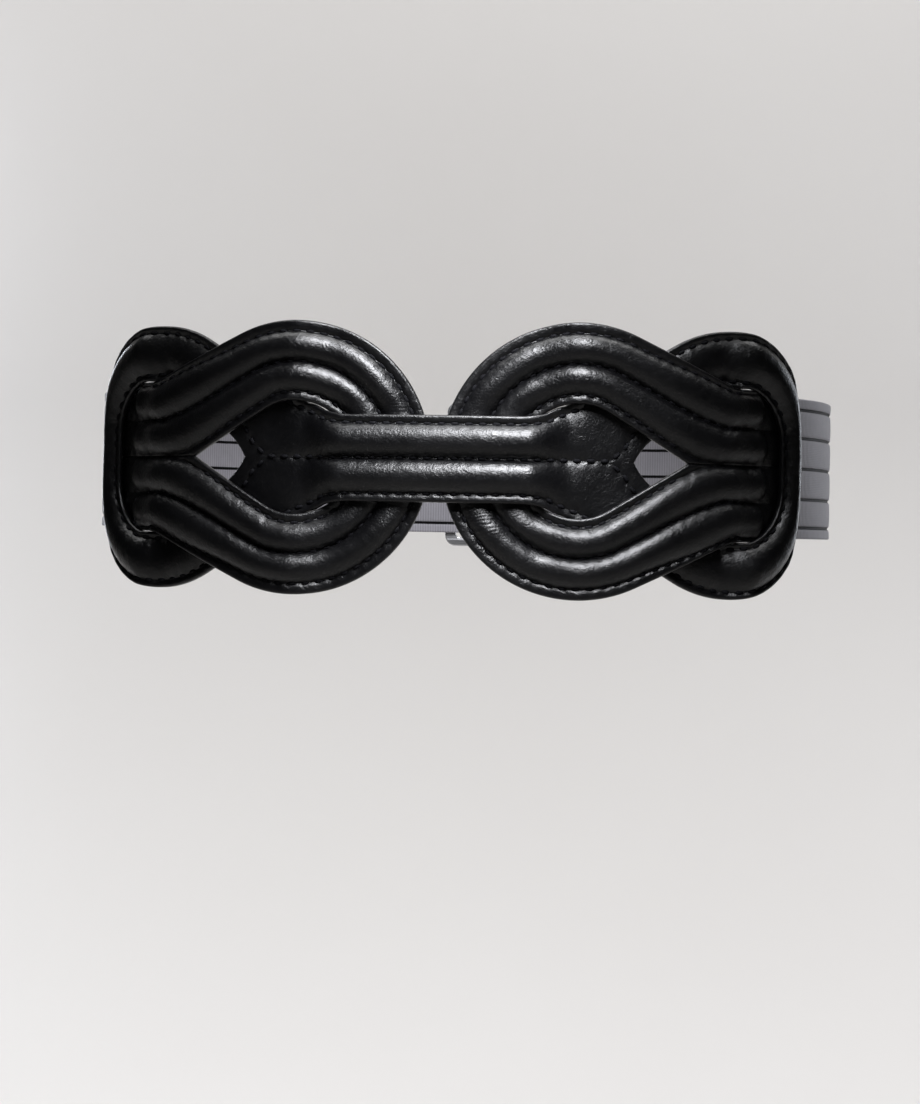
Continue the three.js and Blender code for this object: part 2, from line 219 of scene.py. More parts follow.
# The grid of one leather band on the flat pattern, and the lines of its seams
def makeBand(outerEnds, innerEnds, seamsOf, shapeAt, roundAt, wrinkleAt):
    span = innerEnds - outerEnds
    width = np.hypot(span[:, 0], span[:, 1])
    seams = seamsOf(outerEnds, innerEnds, width)
    keys = [np.zeros_like(width), *seams, width]
    across = []
    column = []
    for k in range(len(keys) - 1):
        margin = k == 0 or k == len(keys) - 2
        shares = marginShares if k == 0 else marginShares[::-1] * -1 + 1 if margin else channelShares
        start = 0 if k == 0 else 1
        for t in shares[start:]:
            across.append(keys[k] + (keys[k + 1] - keys[k]) * t)
            column.append((k, t))
    across = np.array(across).T
    share = across / width[:, None]
    flat = outerEnds[:, None, :] + span[:, None, :] * share[:, :, None]
    shape = shapeAt(flat[..., 0], flat[..., 1], share)
    step = np.hypot(*np.moveaxis(np.diff(flat, axis=0), -1, 0))
    run = np.concatenate([np.zeros((1, flat.shape[1])), np.cumsum(step, axis=0)])
    seamColumns = [column.index((k, 1.0)) for k in range(len(seams))]
    height = np.zeros_like(across)
    for j, (k, t) in enumerate(column):
        toSeam = np.min([np.abs(across[:, j] - s) for s in seams], axis=0)
        if k in (0, len(keys) - 2):
            shoulder = 1 - np.exp(-((toSeam / leather["seamWidth"]) ** 2))
            height[:, j] = shape["valley"][:, j] + (leather["flat"] - shape["valley"][:, j]) * shoulder
            toEdge = across[:, j] if k == 0 else width - across[:, j]
            r = leather["edgeRound"]
            drop = r - np.sqrt(np.maximum(0, r * r - (r - np.minimum(toEdge, r)) ** 2))
            height[:, j] -= drop * (1 if k == 0 else roundAt(innerEnds))
        else:
            rise = (1 - np.abs(2 * t - 1) ** leather["squareness"]) ** leather["fullness"]
            height[:, j] = shape["valley"][:, j] + (shape["crown"][:, j] - shape["valley"][:, j]) * rise
        nearest = np.argmin([np.abs(across[:, j] - s) for s in seams], axis=0)
        along = np.choose(nearest, [run[:, c] for c in seamColumns])
        pull = 0.5 - 0.5 * np.cos(2 * np.pi * along / leather["stitchPitch"])
        height[:, j] -= leather["puckerDepth"] * pull * np.exp(-((toSeam / leather["puckerReach"]) ** 2))
    off = shape["lift"] + height + wrinkleAt(flat[..., 0], flat[..., 1], share, run, height)
    return {"flat": flat, "off": off, "lift": shape["lift"], "across": across, "width": width,
            "run": run, "seamColumns": seamColumns}


# Adds the rounded edges and the flat underside, and gives along, up and off for whole rings of points
def closeRing(band):
    flat, off, lift = band["flat"], band["off"], band["lift"]
    width = band["width"][:, None]
    inward = (flat[:, -1] - flat[:, 0]) / width
    r = leather["underRound"]
    rows = [(flat[:, j], off[:, j]) for j in range(flat.shape[1])]
    for depth, rise in ((0.0, r), (0.3 * r, 0.3 * r), (r, 0.0)):
        rows.append((flat[:, -1] - inward * depth, lift[:, -1] + rise))
    for s in leather["underShares"]:
        j = np.argmin(np.abs(band["across"] / width - s), axis=1)
        spot = flat[:, 0] + inward * width * s
        rows.append((spot, lift[np.arange(len(j)), j]))
    for depth, rise in ((r, 0.0), (0.3 * r, 0.3 * r), (0.0, r)):
        rows.append((flat[:, 0] + inward * depth, lift[:, 0] + rise))
    along = np.stack([p[:, 0] for p, _ in rows], axis=1)
    up = np.stack([p[:, 1] for p, _ in rows], axis=1)
    height = np.stack([h for _, h in rows], axis=1)
    up[np.abs(up) < 1e-6] = 0  # so that both halves meet exactly on the middle line
    return {"along": along, "up": up, "off": height, "top": flat.shape[1]}


def gridFaces(rings, ringSize, hoop, skip=None):
    faces = []
    for i in range(rings if hoop else rings - 1):
        n = (i + 1) % rings
        for k in range(ringSize):
            m = (k + 1) % ringSize
            if skip is not None and skip(i, n, k, m):
                continue
            faces.append((i * ringSize + k, n * ringSize + k, n * ringSize + m, i * ringSize + m))
    return faces


# Puts a mesh into the scene, shaded smooth
def placeMesh(name, mesh):
    mesh.polygons.foreach_set("use_smooth", np.ones(len(mesh.polygons), bool))
    mesh.update()
    piece = bpy.data.objects.new(name, mesh)
    bpy.context.scene.collection.objects.link(piece)
    return piece


weldWithin = 1e-6


# A smooth mesh object with welded points and faces that point out
def buildMesh(name, points, faces, uvs=None):
    mesh = bpy.data.meshes.new(name)
    mesh.from_pydata([tuple(p) for p in points], [], faces)
    if uvs is not None:
        layer = mesh.uv_layers.new(name="pattern")
        loops = np.empty(len(mesh.loops), int)
        mesh.loops.foreach_get("vertex_index", loops)
        layer.data.foreach_set("uv", np.asarray(uvs, np.float32)[loops].ravel())
    bm = bmesh.new()
    bm.from_mesh(mesh)
    bmesh.ops.remove_doubles(bm, verts=bm.verts, dist=weldWithin)
    bmesh.ops.recalc_face_normals(bm, faces=bm.faces)
    bm.to_mesh(mesh)
    bm.free()
    return placeMesh(name, mesh)


# Knot loop: a round eye whose two arms come together into a strap
loop = {
    "eyeAt": 43.2,
    "radius": 41.8,
    "holeRadius": 17.3,
    "holeTip": 76.6,
    "slope": 25.0,
    "armEnd": 89.0,
    "armSplit": 0.62,
    "bendRadius": 14.0,
    "lag": 6.0,
    "strapEnd": 113.0,
    "ribEnd": 105.6,
    "ribEndBow": 2.4,
    "ribEndRound": 7.5,
    "ribHalfWidth": 22.0,
    "pressedCrown": 3.3,
    "pressedUpTo": 13.8,
    "clearAt": 22.0,
    "pressedAlong": 33.0,
    "pressedFade": 6.0,
    "ribTaper": 3.6,  # how much sooner a rib ends at its sides
    "ribTaperPower": 2.4,
    "ribEndPower": 2.2,
    "leastRise": 0.25,
    "seamEvening": 26,  # sections each way that a seam's distance from its edge is evened over
    "lastSeamClear": 0.4,
}
loopShape = [
    {"along": 30, "lift": 0, "crown": 4.3, "outer": 3.4, "inner": 2.8},
    {"along": 46, "lift": 3.6, "crown": 4.3, "outer": 3.4, "inner": 2.8},
    {"along": 62, "lift": 3.6, "crown": 4.3, "outer": 3.2, "inner": 2.8},
    {"along": 90, "lift": 3.6, "crown": 4.1, "outer": 1.7, "inner": 0.6},
    {"along": 99, "lift": 1.75, "crown": 4.1, "outer": 1.4, "inner": 0.5},
]
# Short creases across the outer channel where the bridge pinches the loop
creases = {
    "period": 1.05,
    "depth": 0.13,
    "at": 17.0,
    "up": 16.5,
    "reach": 11.0,
    "start": 0.1,  # shares of the way across the loop
    "startFade": 0.08,
    "end": 0.56,
    "endFade": 0.1,
    "sway": 1.6,
    "swayScale": 0.16,
    "lean": 2.2,
    "leastDepth": 0.35,
    "fadeScale": 0.3,
}


def loopEnds(v):
    armStart = v["eyeAt"] + v["radius"] * math.sin(math.radians(v["slope"]))
    armRun = (v["armEnd"] - armStart) / math.cos(math.radians(v["slope"]))
    bendEnd = v["armEnd"] + v["bendRadius"] * math.sin(math.radians(v["slope"]))
    toTip = v["holeTip"] - v["eyeAt"]
    holeTurn = 180 - math.degrees(math.acos(v["holeRadius"] / toTip))
    holeRun = math.sqrt(toTip**2 - v["holeRadius"] ** 2)
    turn = 90 + v["slope"]
    rest = v["strapEnd"] - bendEnd
    stretches = [
        {"outer": [{"turn": -turn, "radius": v["radius"]}],
         "inner": [{"turn": -turn, "radius": v["holeRadius"]}], "pitch": 0.36},
        {"outer": [{"run": v["armSplit"] * armRun}],
         "inner": [{"turn": turn - holeTurn, "radius": v["holeRadius"]}, {"run": holeRun}], "pitch": 0.5},
        {"outer": [{"run": (1 - v["armSplit"]) * armRun}, {"turn": v["slope"], "radius": v["bendRadius"]}],
         "innerHeading": 0, "inner": [{"run": bendEnd - v["holeTip"] - v["lag"]}], "pitch": 0.5},
        {"outer": [{"run": rest}], "inner": [{"run": rest + v["lag"]}], "pitch": 0.4},
    ]
    tip = (v["eyeAt"] - v["radius"], 0)
    holeStart = (v["eyeAt"] - v["holeRadius"], 0)
    return sectionEnds(tip, holeStart, 90, stretches)


# One half of a loop, on the flat pattern: side is 1 on the right, and level is 1 above the middle line
def makeLoopHalf(side, level):
    v = loop
    outerEnds, innerEnds = loopEnds(v)
    reach = v["seamEvening"]

    def seamsOf(outer, inner, width):
        first = softened(fromTable(loopShape, "outer", outer[:, 0]), reach)
        last = softened(width - fromTable(loopShape, "inner", inner[:, 0]), reach)
        last = np.minimum(last, width - v["lastSeamClear"])
        return [first, (first + last) / 2, last]

    def shapeAt(along, up, share):
        clear = smoothStep((np.abs(up) - v["pressedUpTo"]) / (v["clearAt"] - v["pressedUpTo"]))
        free = fromTable(loopShape, "crown", along)
        nearBridge = smoothStep((v["pressedAlong"] + v["pressedFade"] / 2 - along) / v["pressedFade"])
        crown = free - (free - v["pressedCrown"]) * (1 - clear) * nearBridge
        rib = np.abs(np.mod(share * 2, 1) * 2 - 1)
        taper = v["ribTaper"] * rib ** v["ribTaperPower"]
        end = v["ribEnd"] - v["ribEndBow"] * (up / v["ribHalfWidth"]) ** 2 - taper
        past = 1 - np.clip((end - along) / v["ribEndRound"], 0, 1)
        rise = np.sqrt(np.maximum(0, 1 - past ** v["ribEndPower"]))
        crown = leather["valley"] + (crown - leather["valley"]) * rise
        return {"lift": fromTable(loopShape, "lift", along),
                "crown": np.maximum(crown, leather["valley"] + v["leastRise"]),
                "valley": np.full_like(along, leather["valley"])}

    def wrinkleAt(along, up, share, run, height):
        c = creases
        near = np.exp(-(((along - c["at"]) ** 2 + (np.abs(up) - c["up"]) ** 2) / c["reach"] ** 2))
        outerHalf = smoothStep((c["end"] - share) / c["endFade"])
        outerHalf = outerHalf * smoothStep((share - c["start"]) / c["startFade"])
        points = np.stack([along * side, up * level, np.zeros_like(up)], axis=-1)
        sway = waver(points, c["swayScale"], 1)
        fade = 0.5 + 0.5 * waver(points, c["fadeScale"], 2)
        phase = 2 * np.pi * (run + c["sway"] * sway + c["lean"] * share) / c["period"]
        crease = -c["depth"] * near * outerHalf * (0.5 + 0.5 * np.cos(phase)) ** 2 * (c["leastDepth"] + fade)
        return crease + unevenness(points, height)

    return makeBand(outerEnds, innerEnds, seamsOf, shapeAt, lambda inner: 1.0, wrinkleAt)


# Slow swells and fine ripples on the padded parts, in millimetres
swells = {"slow": 0.16, "slowScale": 0.085, "fine": 0.05, "fineScale": 0.38, "fullAt": 1.5}


def unevenness(points, height):
    soft = smoothStep((height - leather["flat"]) / swells["fullAt"])
    slow = swells["slow"] * waver(points, swells["slowScale"], 3)
    return soft * (slow + swells["fine"] * waver(points, swells["fineScale"], 4))


# Mirrors a band's rings: the pattern is drawn once, on the right and above the middle line
def mirrorRings(ring, side, level, part=slice(None), backwards=False):
    step = -1 if backwards else 1
    return {"along": (ring["along"] * side)[part][::step], "up": (ring["up"] * level)[part][::step],
            "off": ring["off"][part][::step]}


# Joins runs of rings into one closed piece; where two sides meet on the middle line their walls are left out
def pieceFromRings(name, runs, top, hoop):
    along, up, off = (np.concatenate([r[key] for r in runs]) for key in ("along", "up", "off"))
    rings, size = along.shape

    def skip(i, n, k, m):
        return k == top - 1 and up[i, k] == 0 and up[n, k] == 0 and up[i, m] == 0 and up[n, m] == 0

    faces = gridFaces(rings, size, hoop, skip)
    if not hoop:
        faces.append(tuple(range(size)))
        faces.append(tuple((rings - 1) * size + k for k in reversed(range(size))))
    points = wrapPattern(along, up, off).reshape(-1, 3)
    uvs = np.stack([along.ravel() / patternUnit, up.ravel() / patternUnit], axis=-1)
    return buildMesh(name, points, faces, uvs)


def makeLoop(name, side):
    halves = {level: makeLoopHalf(side, level) for level in (1, -1)}
    rings = {level: closeRing(band) for level, band in halves.items()}
    runs = [
        mirrorRings(rings[1], side, 1, backwards=True),
        mirrorRings(rings[-1], side, -1, slice(1, None)),
    ]
    return pieceFromRings(name, runs, rings[1]["top"], False), halves


# Centre link: a two-channel bridge that opens into a ring at each end
link = {
    "half": 13.2,
    "flareAt": 25.0,
    "flareRadius": 34.0,
    "slope": 30.0,
    "armAt": 47.4,
    "climbRadius": 38.0,
    "earTop": 41.0,
    "ear": [{"radius": 25.0, "turn": -30.0}, {"radius": 27.0, "turn": -49.0}],
    "holeAt": 60.8,
    "holeHeading": 64.0,
    "holeEndRadius": 20.0,
    "holeSlope": 42.0,
    "holeTopRadius": 16.3,
    "holeTop": 24.4,
    "holeFarRadius": 17.5,
    "forkAt": 53.5,
    "forkMargin": 5.4,
    "middleSeam": 0.25,  # how far each half's inner seam lies from the middle line
    "seamEvening": 14,
    "forkEvening": 4,
    "shallowReach": 12,
    "shallowShift": 4,
    "shallowDepth": 0.1,
    "edgeRamp": 0.8,
}
# How far the link's edge laps the loop's edge where they cross. Where the two are at the same height
# it is below nought: the edge stops short, so that the leathers stay clear of each other
lapHole = [
    {"along": 32, "lap": 0.5},
    {"along": 34, "lap": -0.12},
    {"along": 39, "lap": -0.12},
    {"along": 41, "lap": 0.5},
]
lapStrap = [
    {"along": 91, "lap": 0.5},
    {"along": 93, "lap": -0.06},
    {"along": 97.5, "lap": -0.06},
    {"along": 100, "lap": 0.5},
]
lapFade = {"from": 2, "to": 3, "longest": 2}  # the edge is never drawn further than the longest
linkShape = [
    {"along": 28, "lift": 3.8, "crown": 4.5, "outer": 2.7, "inner": 5.4},
    {"along": 42, "lift": 0, "crown": 2.5, "outer": 2.7, "inner": 5.4},
    {"along": 52, "lift": 0, "crown": 1.9, "outer": 2.8, "inner": 5.4},
    {"along": 64, "lift": 0, "crown": 2.3, "outer": 2.8, "inner": 5.4},
    {"along": 76, "lift": 0, "crown": 3.1, "outer": 2.6, "inner": 2.8},
    {"along": 88, "lift": 0, "crown": 3.1, "outer": 2.4, "inner": 2.2},
    {"along": 100, "lift": 4.2, "crown": 4.4, "outer": 2.0, "inner": 1.8},
    {"along": 113, "lift": 4.2, "crown": 4.4, "outer": 1.8, "inner": 1.8},
    {"along": 121, "lift": 2.4, "crown": 4.4, "outer": 1.8, "inner": 1.8},
]


def linkEnds(v):
    def rise(radius, fromTurn, toTurn):
        return radius * (math.cos(math.radians(toTurn)) - math.cos(math.radians(fromTurn)))

    slope = math.radians(v["slope"])
    flareTop = v["half"] + rise(v["flareRadius"], v["slope"], 0)
    climb = (v["earTop"] - flareTop - rise(v["climbRadius"], v["slope"], 0)) / math.sin(slope)
    toArm = (v["armAt"] - v["flareAt"] - v["flareRadius"] * math.sin(slope)) / math.cos(slope)
    up, heading = v["earTop"], 0
    for arc in v["ear"]:
        up -= rise(arc["radius"], heading + arc["turn"], heading)
        heading += arc["turn"]
    lastTurn = -90 - heading
    last = {"radius": up / math.sin(math.radians(-lastTurn)), "turn": lastTurn}
    endRise = rise(v["holeEndRadius"], v["holeHeading"], v["holeSlope"])
    topRise = rise(v["holeTopRadius"], v["holeSlope"], 0)
    holeSide = (v["holeTop"] - endRise - topRise) / math.sin(math.radians(v["holeSlope"]))
    stretches = [
        {"outer": [{"run": v["flareAt"]}], "inner": [{"run": v["flareAt"]}], "pitch": 0.5},
        {"outer": [{"turn": v["slope"], "radius": v["flareRadius"]}, {"run": toArm}],
         "inner": [{"run": v["holeAt"] - v["flareAt"]}], "pitch": 0.5},
        {"outer": [{"run": climb - toArm}], "innerHeading": v["holeHeading"],
         "inner": [{"turn": v["holeSlope"] - v["holeHeading"], "radius": v["holeEndRadius"]}, {"run": holeSide}],
         "pitch": 0.5},
        {"outer": [{"turn": -v["slope"], "radius": v["climbRadius"]}],
         "inner": [{"turn": -v["holeSlope"], "radius": v["holeTopRadius"]}], "pitch": 0.5},
        {"outer": [*v["ear"], last],
         "inner": [{"turn": -90, "radius": v["holeFarRadius"]}, {"run": v["holeTop"] - v["holeFarRadius"]}],
         "pitch": 0.5},
    ]
    return sectionEnds((0, v["half"]), (0, 0), 0, stretches)


# Draws an edge of the link up to the loop's edge, along the stretch where one dives under the other
def lapLoop(ends, rows, loopEdge, way):
    order = np.argsort(loopEdge[:, 0], kind="stable")
    along = ends[:, 0]
    target = np.interp(along, loopEdge[order, 0], loopEdge[order, 1]) + way * fromTable(rows, "lap", along)
    grip = smoothStep((along - rows[0]["along"] + lapFade["from"]) / lapFade["from"])
    grip = grip * smoothStep((rows[-1]["along"] + lapFade["to"] - along) / lapFade["to"])
    short = way * (target - ends[:, 1])
    ends[:, 1] += (target - ends[:, 1]) * grip * ((short > 0) & (short < lapFade["longest"]))


def makeLinkQuarter(side, level):
    outerEnds, innerEnds = linkEnds(link)
    lapLoop(outerEnds, lapHole, loopEnds(loop)[1], 1)
    lapLoop(innerEnds, lapStrap, loopEnds(loop)[0], -1)
    reach = link["seamEvening"]

    # The middle seam opens into one that runs round the hole
    def seamsOf(outer, inner, width):
        first = softened(fromTable(linkShape, "outer", outer[:, 0]), reach)
        opened = np.clip((inner[:, 0] - link["forkAt"]) / (link["holeAt"] - link["forkAt"]), 0, 1)
        ramp = link["middleSeam"] + (link["forkMargin"] - link["middleSeam"]) * opened
        last = softened(np.minimum(ramp, fromTable(linkShape, "inner", inner[:, 0])), link["forkEvening"])
        return [first, width - last]

    def shapeAt(along, up, share):
        # the seam is shallow where it opens round the hole
        fromFork = (along - link["forkAt"] - link["shallowShift"]) ** 2 + up**2
        near = np.exp(-(fromFork / link["shallowReach"] ** 2))
        shallow = leather["flat"] - link["shallowDepth"] - leather["valley"]
        return {"lift": fromTable(linkShape, "lift", along), "crown": fromTable(linkShape, "crown", along),
                "valley": leather["valley"] + shallow * near}

    def roundAt(inner):
        return smoothStep((inner[:, 0] - link["holeAt"] + link["edgeRamp"]) / link["edgeRamp"])

    def wrinkleAt(along, up, share, run, height):
        return unevenness(np.stack([along * side, up * level, np.zeros_like(up)], axis=-1), height)

    return makeBand(outerEnds, innerEnds, seamsOf, shapeAt, roundAt, wrinkleAt)


def makeLink(name):
    quarters = {(s, l): makeLinkQuarter(s, l) for s in (1, -1) for l in (1, -1)}
    rings = {key: closeRing(band) for key, band in quarters.items()}
    inner = slice(1, None)
    between = slice(1, -1)
    runs = [
        mirrorRings(rings[(1, 1)], 1, 1),
        mirrorRings(rings[(1, -1)], 1, -1, slice(0, -1), True),
        mirrorRings(rings[(-1, -1)], -1, -1, inner),
        mirrorRings(rings[(-1, 1)], -1, 1, between, True),
    ]
    return pieceFromRings(name, runs, rings[(1, 1)]["top"], True), quarters


# Stitches: short turns of thread that lie in the seams and dip into the leather at both ends
stitch = {
    "rings": [-1.0, -0.93, -0.75, -0.4, 0.0, 0.4, 0.75, 0.93, 1.0],
    "sides": 8,
    "dip": 0.5,
    "blunt": 3.2,  # higher is a more even girth
    "leastRadius": 0.03,
    "proud": 0.3,
    "broad": 1.15,
    "strapStop": 97.0,
    "holeStop": 73.5,
}


# The middle of each stitch along a seam, with the seam's direction and the way out of the leather
def stitchPlaces(band, seamColumn, side, level, keep):
    flat = band["flat"][:, seamColumn]
    off = band["off"][:, seamColumn]
    line = wrapPattern(flat[:, 0] * side, flat[:, 1] * level, off)
    above = wrapPattern(flat[:, 0] * side, flat[:, 1] * level, off + 1)
    length = np.concatenate([[0], np.cumsum(np.linalg.norm(np.diff(line, axis=0), axis=1))]) / mm
    pitch = leather["stitchPitch"]
    centres = np.arange(pitch / 2, length[-1] - pitch / 2, pitch)
    half = leather["stitchLength"] / 2

    spot = readAlong(centres, length, flat)
    wanted = np.array([keep(s, z) for s, z in spot], bool)
    centres = centres[wanted]
    middle = readAlong(centres, length, line)
    direction = readAlong(centres + half, length, line) - readAlong(centres - half, length, line)
    return middle, direction, readAlong(centres, length, above) - middle


def makeStitches(name, rows):
    points, faces = [], []
    sides = stitch["sides"]
    r = leather["stitchRadius"]
    for middles, directions, outs in rows:
        for middle, direction, out in zip(middles, directions, outs):
            forward = direction / np.linalg.norm(direction)
            out = out - forward * out.dot(forward)
            out /= np.linalg.norm(out)
            across = np.cross(out, forward)
            base = len(points)
            for t in stitch["rings"]:
                girth = math.sqrt(max(0.0, 1 - abs(t) ** stitch["blunt"])) * r + stitch["leastRadius"]
                low = -stitch["dip"] * abs(t) ** 4
                rise = (low + stitch["proud"] * r) * mm
                centre = middle + forward * t * leather["stitchLength"] / 2 * mm + out * rise
                for k in range(sides):
                    a = 2 * math.pi * k / sides
                    turned = across * math.cos(a) * stitch["broad"] + out * math.sin(a)
                    points.append(centre + turned * girth * mm)
            count = len(stitch["rings"])
            for i in range(count - 1):
                for k in range(sides):
                    m = (k + 1) % sides
                    a = base + i * sides
                    faces.append((a + k, a + m, a + sides + m, a + sides + k))
            faces.append(tuple(base + k for k in reversed(range(sides))))
            faces.append(tuple(base + (count - 1) * sides + k for k in range(sides)))
    mesh = bpy.data.meshes.new(name)
    mesh.from_pydata([tuple(p) for p in points], [], faces)
    return placeMesh(name, mesh)


def loopStitches(name, halves, side):
    stops = [stitch["strapStop"], stitch["strapStop"], stitch["holeStop"]]
    rows = []
    for level, band in halves.items():
        for column, stop in zip(band["seamColumns"], stops):
            rows.append(stitchPlaces(band, column, side, level, lambda s, z, stop=stop: s < stop))
    return makeStitches(name, rows)


def linkStitches(name, quarters):
    rows = []
    for (side, level), band in quarters.items():
        outer, inner = band["seamColumns"]
        rows.append(stitchPlaces(band, outer, side, level, lambda s, z: True))
        start = -1 if level == 1 else link["forkAt"]
        rows.append(stitchPlaces(band, inner, side, level, lambda s, z, start=start: s > start))
    return makeStitches(name, rows)


# Elastic: a woven band with lengthwise grooves, from under the strap to the clasp, round its bar and back
elastic = {
    "width": 44.0,
    "thick": 1.4,
    "start": 106.0,
    "turnBack": 20.0,
    "rampTurn": 8.0,
    "rampRadius": 40.0,
    "grooves": [-18.5, -9.6, 0.0, 9.6, 18.5],
    "grooveDepth": 0.62,
    "grooveWidth": 0.5,
    "padRise": 0.12,
    "edgeRound": 0.5,
    "pitch": 1.6,
    "foldReach": 8,  # the sections lie closer for this far before and after the fold
    "foldPitch": 0.3,
    "backPitch": 1.5,
    "near": 0.05,  # the band's direction is taken between points this near
}
padShares = [0.04, 0.08, 0.13, 0.2, 0.32, 0.5, 0.68, 0.8, 0.87, 0.92, 0.96, 1.0]
clasp = {
    "halfWidth": 17.5,
    "halfHeight": 27.0,
    "bar": 4.0,
    "slot": 3.0,
    "thick": 1.6,
    "corner": 4.0,
    "play": 0.3,
    "bevel": 0.35,
}


def elasticSection(v):
    half = v["width"] / 2
    across = [-half, -half + 0.1, -half + 0.3, -half + 0.6]
    edges = [-half + 0.6, *v["grooves"], half - 0.6]
    for a, b in zip(edges[:-1], edges[1:]):
        across += [a + (b - a) * t for t in padShares]
    across += [half - 0.3, half - 0.1, half]
    across = np.array(across)
    toGroove = np.min([np.abs(across - g) for g in v["grooves"]], axis=0)
    height = v["thick"] - v["grooveDepth"] * np.exp(-((toGroove / v["grooveWidth"]) ** 2))
    height += v["padRise"] * smoothStep(toGroove / 4) - v["padRise"]
    r = v["edgeRound"]
    toEdge = half - np.abs(across)
    height -= r - np.sqrt(np.maximum(0, r * r - (r - np.minimum(toEdge, r)) ** 2))
    up = np.concatenate([across, [half, half - 0.3, half / 2, 0, -half / 2, 0.3 - half, -half]])
    height = np.concatenate([height, [0.3, 0, 0, 0, 0, 0, 0.3]])
    return up, height


def elasticRoute(v):
    foldRadius = clasp["thick"] / 2 + clasp["play"]
    foldAt = oval["half"] - clasp["halfWidth"] + clasp["bar"]
    rise = clasp["play"] + v["thick"] + 2 * foldRadius
    turn = math.radians(v["rampTurn"])
    ramp = (rise - 2 * v["rampRadius"] * (1 - math.cos(turn))) / math.sin(turn)
    rampLength = ramp * math.cos(turn) + 2 * v["rampRadius"] * math.sin(turn)
    rows = [
        {"run": foldAt - clasp["bar"] - rampLength - v["start"]},
        {"turn": v["rampTurn"], "radius": v["rampRadius"]},
        {"run": ramp},
        {"turn": -v["rampTurn"], "radius": v["rampRadius"]},
        {"run": clasp["bar"]},
        {"turn": -180, "radius": foldRadius},
        {"run": v["turnBack"]},
    ]
    return drawRoute((v["start"], 0), 0, rows)[0], foldAt


def makeElastic(name, side):
    v = elastic
    up, height = elasticSection(v)
    path, foldAt = elasticRoute(v)
    length = lengthsOf(path)
    fold = length[np.argmax(path[:, 0])]
    reach = v["foldReach"]
    stops = np.unique(np.concatenate([
        np.arange(0, fold - reach, v["pitch"]), np.arange(fold - reach, fold + reach, v["foldPitch"]),
        np.arange(fold + reach, length[-1], v["backPitch"]), [length[-1]],
    ]))
    centre = readAlong(stops, length, path)
    near = v["near"]
    direction = readAlong(stops + near, length, path) - readAlong(stops - near, length, path)
    direction /= np.linalg.norm(direction, axis=1)[:, None]
    along = side * (centre[:, :1] - direction[:, 1:] * height[None, :])
    off = centre[:, 1:] + direction[:, :1] * height[None, :]
    rings = {"along": along, "up": np.broadcast_to(up, along.shape).copy(), "off": off}
    piece = pieceFromRings(name, [rings], -1, False)
    return piece, length[-1]


# Clasp: a plain plate with a slot and a bar at each end for the elastic
def makeClasp(name):
    v = clasp
    curve = bpy.data.curves.new(name + "Outline", "CURVE")
    curve.dimensions = "2D"
    curve.fill_mode = "BOTH"
    curve.extrude = v["thick"] / 2 - v["bevel"]
    curve.bevel_depth = v["bevel"]
    curve.bevel_resolution = 3
    curve.offset = -v["bevel"]

    def addOutline(points):
        spline = curve.splines.new("POLY")
        spline.points.add(len(points) - 1)
        for p, (x, y) in zip(spline.points, points):
            p.co = (x, y, 0, 1)
        spline.use_cyclic_u = True

    def corner(x, y, r, fromTurn, toTurn, steps=8):
        turns = np.radians(np.linspace(fromTurn, toTurn, steps))
        return [(x + r * math.cos(a), y + r * math.sin(a)) for a in turns]

    w, h, c = v["halfWidth"], v["halfHeight"], v["corner"]
    addOutline(corner(c - w, c - h, c, 180, 270) + corner(w - c, c - h, c, 270, 360)
               + corner(w - c, h - c, c, 0, 90) + corner(c - w, h - c, c, 90, 180))
    top = elastic["width"] / 2 + v["play"]
    for side in (-1, 1):
        x = side * (w - v["bar"] - v["slot"] / 2)
        addOutline(corner(x, top, v["slot"] / 2, 0, 180) + corner(x, -top, v["slot"] / 2, 180, 360))
    outline = bpy.data.objects.new(name + "Outline", curve)
    bpy.context.scene.collection.objects.link(outline)
    made = bpy.data.meshes.new_from_object(outline.evaluated_get(bpy.context.evaluated_depsgraph_get()))
    bpy.data.objects.remove(outline)
    plate = np.array([p.co for p in made.vertices])
    base = v["play"] + elastic["thick"] + v["play"] + v["thick"] / 2
    points = wrapPattern(oval["half"] - plate[:, 0], plate[:, 1], base + plate[:, 2])
    faces = [tuple(f.vertices) for f in made.polygons]
    bpy.data.meshes.remove(made)
    piece = buildMesh(name, points, faces)
    piece.modifiers.new("edges", "WEIGHTED_NORMAL")
    return piece


# Shader tools
def newGroup(name, inputs, outputs):
    group = bpy.data.node_groups.new(name, "ShaderNodeTree")
    for label, kind, value in inputs:
        socket = group.interface.new_socket(label, in_out="INPUT", socket_type="NodeSocket" + kind)
        if value is not None:
            socket.default_value = value
    for label, kind in outputs:
        group.interface.new_socket(label, in_out="OUTPUT", socket_type="NodeSocket" + kind)
    return group, addNode(group, "NodeGroupInput"), addNode(group, "NodeGroupOutput")


# Links a socket, or sets its value
def feed(tree, socket, value):
    if isinstance(value, bpy.types.NodeSocket):
        tree.links.new(value, socket)
    else:
        socket.default_value = value


def addNode(tree, kind, links=None, **settings):
    node = tree.nodes.new(kind)
    for key, value in settings.items():
        setattr(node, key, value)
    for key, value in (links or {}).items():
        feed(tree, node.inputs[key], value)
    return node


def mathNode(tree, operation, a, b=None):
    links = {0: a} if b is None else {0: a, 1: b}
    return addNode(tree, "ShaderNodeMath", links, operation=operation).outputs[0]


def spread(tree, value, low, high, toLow, toHigh):
    links = {"Value": value, "From Min": low, "From Max": high, "To Min": toLow, "To Max": toHigh}
    return addNode(tree, "ShaderNodeMapRange", links, clamp=True).outputs["Result"]


